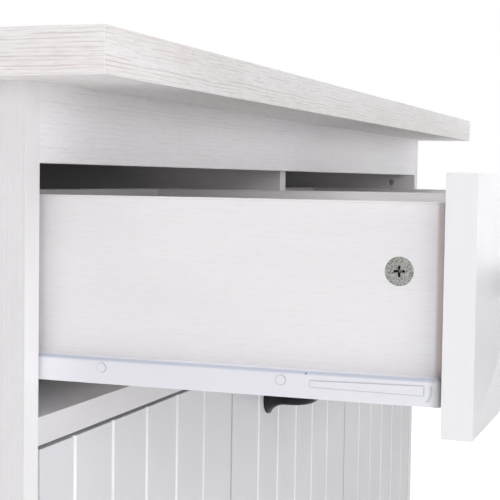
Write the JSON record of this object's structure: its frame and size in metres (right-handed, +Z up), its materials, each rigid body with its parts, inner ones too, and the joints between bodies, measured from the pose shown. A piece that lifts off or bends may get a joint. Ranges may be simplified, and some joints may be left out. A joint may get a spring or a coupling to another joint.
{
  "type": "storage desk",
  "caption": "Flat-topped storage desk with two inset drawers on roller slides, and below them two beadboard doors and a deep beadboard drawer, with bow pulls.",
  "frame": {"origin": "bottom centre of the whole object as it stands, on the floor, with the two upper drawers pulled out 240 mm", "axes": "+X across the desk to the right as seen from the front, +Y towards the back, +Z up; the fronts face -Y"},
  "size_m": [1.056, 0.733, 0.76],
  "materials": {
    "top_laminate": "white wood-grain laminate",
    "board_laminate": "white embossed melamine",
    "beadboard_lacquer": "satin white lacquer",
    "hardboard": "white faced hardboard",
    "slide_enamel": "white epoxy enamel",
    "white_nylon": "moulded nylon",
    "zinc": "zinc plated",
    "black_metal": "satin black",
    "black_hinge": "satin black",
    "glide_plastic": "moulded nylon",
    "catch_plastic": "moulded"
  },
  "bodies": {
    "carcass": {"back_panel": "hardboard", "bottom_panel": "board_laminate", "cabinet_slides": "slide_enamel", "carcass_cam_fittings": "zinc", "carcass_screws": "zinc", "door_catches": "catch_plastic", "drawer_partition": "board_laminate", "drawer_shelf": "board_laminate", "floor_glides": "glide_plastic", "front_apron": "board_laminate", "hinge_frame_leaves": "black_hinge", "hinge_pins": "black_hinge", "left_cupboard_shelf": "board_laminate", "left_divider": "board_laminate", "left_side_panel": "board_laminate", "plinth_board": "board_laminate", "rear_stretcher": "board_laminate", "right_cupboard_shelf": "board_laminate", "right_divider": "board_laminate", "right_side_panel": "board_laminate", "shelf_pins": "zinc", "top_board": "top_laminate"},
    "left_drawer": {"left_drawer_back": "board_laminate", "left_drawer_bottom": "hardboard", "left_drawer_fixings": "zinc", "left_drawer_front": "board_laminate", "left_drawer_left_side": "board_laminate", "left_drawer_pull": "black_metal", "left_drawer_right_side": "board_laminate", "left_drawer_slides": "slide_enamel"},
    "centre_drawer": {"centre_drawer_back": "board_laminate", "centre_drawer_bottom": "hardboard", "centre_drawer_fixings": "zinc", "centre_drawer_front": "beadboard_lacquer", "centre_drawer_left_side": "board_laminate", "centre_drawer_pull": "black_metal", "centre_drawer_right_side": "board_laminate", "centre_drawer_slides": "slide_enamel"},
    "right_drawer": {"right_drawer_back": "board_laminate", "right_drawer_bottom": "hardboard", "right_drawer_fixings": "zinc", "right_drawer_front": "board_laminate", "right_drawer_left_side": "board_laminate", "right_drawer_pull": "black_metal", "right_drawer_right_side": "board_laminate", "right_drawer_slides": "slide_enamel"},
    "left_door": {"left_door_fixings": "zinc", "left_door_hinge_leaves": "black_hinge", "left_door_panel": "beadboard_lacquer", "left_door_pull": "black_metal"},
    "right_door": {"right_door_fixings": "zinc", "right_door_hinge_leaves": "black_hinge", "right_door_panel": "beadboard_lacquer", "right_door_pull": "black_metal"},
    "left_front_rollers": {"left_drawer_front_rollers": "white_nylon"},
    "left_rear_rollers": {"left_drawer_rear_rollers": "white_nylon"},
    "centre_front_rollers": {"centre_drawer_front_rollers": "white_nylon"},
    "centre_rear_rollers": {"centre_drawer_rear_rollers": "white_nylon"},
    "right_front_rollers": {"right_drawer_front_rollers": "white_nylon"},
    "right_rear_rollers": {"right_drawer_rear_rollers": "white_nylon"}
  },
  "joints": [
    {"name": "left_drawer_slide", "type": "slide", "parent": "carcass", "child": "left_drawer", "axis": [0, -1, 0], "range_m": [-0.24, 0.02]},
    {"name": "left_front_roller_spin", "type": "hinge", "parent": "carcass", "child": "left_front_rollers", "pos_m": [0, -0.054, 0.5782], "axis": [1, 0, 0], "continuous": true},
    {"name": "left_rear_roller_spin", "type": "hinge", "parent": "left_drawer", "child": "left_rear_rollers", "pos_m": [0, 0.02, 0.5745], "axis": [1, 0, 0], "continuous": true},
    {"name": "centre_drawer_slide", "type": "slide", "parent": "carcass", "child": "centre_drawer", "axis": [0, -1, 0], "range_m": [0, 0.26]},
    {"name": "centre_front_roller_spin", "type": "hinge", "parent": "carcass", "child": "centre_front_rollers", "pos_m": [0, -0.054, 0.106], "axis": [1, 0, 0], "continuous": true},
    {"name": "centre_rear_roller_spin", "type": "hinge", "parent": "centre_drawer", "child": "centre_rear_rollers", "pos_m": [0, 0.26, 0.1023], "axis": [1, 0, 0], "continuous": true},
    {"name": "right_drawer_slide", "type": "slide", "parent": "carcass", "child": "right_drawer", "axis": [0, -1, 0], "range_m": [-0.24, 0.02]},
    {"name": "right_front_roller_spin", "type": "hinge", "parent": "carcass", "child": "right_front_rollers", "pos_m": [0, -0.054, 0.5782], "axis": [1, 0, 0], "continuous": true},
    {"name": "right_rear_roller_spin", "type": "hinge", "parent": "right_drawer", "child": "right_rear_rollers", "pos_m": [0, 0.02, 0.5745], "axis": [1, 0, 0], "continuous": true},
    {"name": "left_door_hinge", "type": "hinge", "parent": "carcass", "child": "left_door", "pos_m": [-0.48275, -0.092, 0.305], "axis": [0, 0, -1], "range_deg": [0, 170]},
    {"name": "right_door_hinge", "type": "hinge", "parent": "carcass", "child": "right_door", "pos_m": [0.48275, -0.092, 0.305], "axis": [0, 0, 1], "range_deg": [0, 170]}
  ],
  "couplings": [
    {"joint": "left_front_roller_spin", "follows": "left_drawer_slide", "rad_per_m": 181.82},
    {"joint": "left_rear_roller_spin", "follows": "left_drawer_slide", "rad_per_m": 142.86},
    {"joint": "centre_front_roller_spin", "follows": "centre_drawer_slide", "rad_per_m": 181.82},
    {"joint": "centre_rear_roller_spin", "follows": "centre_drawer_slide", "rad_per_m": 142.86},
    {"joint": "right_front_roller_spin", "follows": "right_drawer_slide", "rad_per_m": 181.82},
    {"joint": "right_rear_roller_spin", "follows": "right_drawer_slide", "rad_per_m": 142.86}
  ]
}
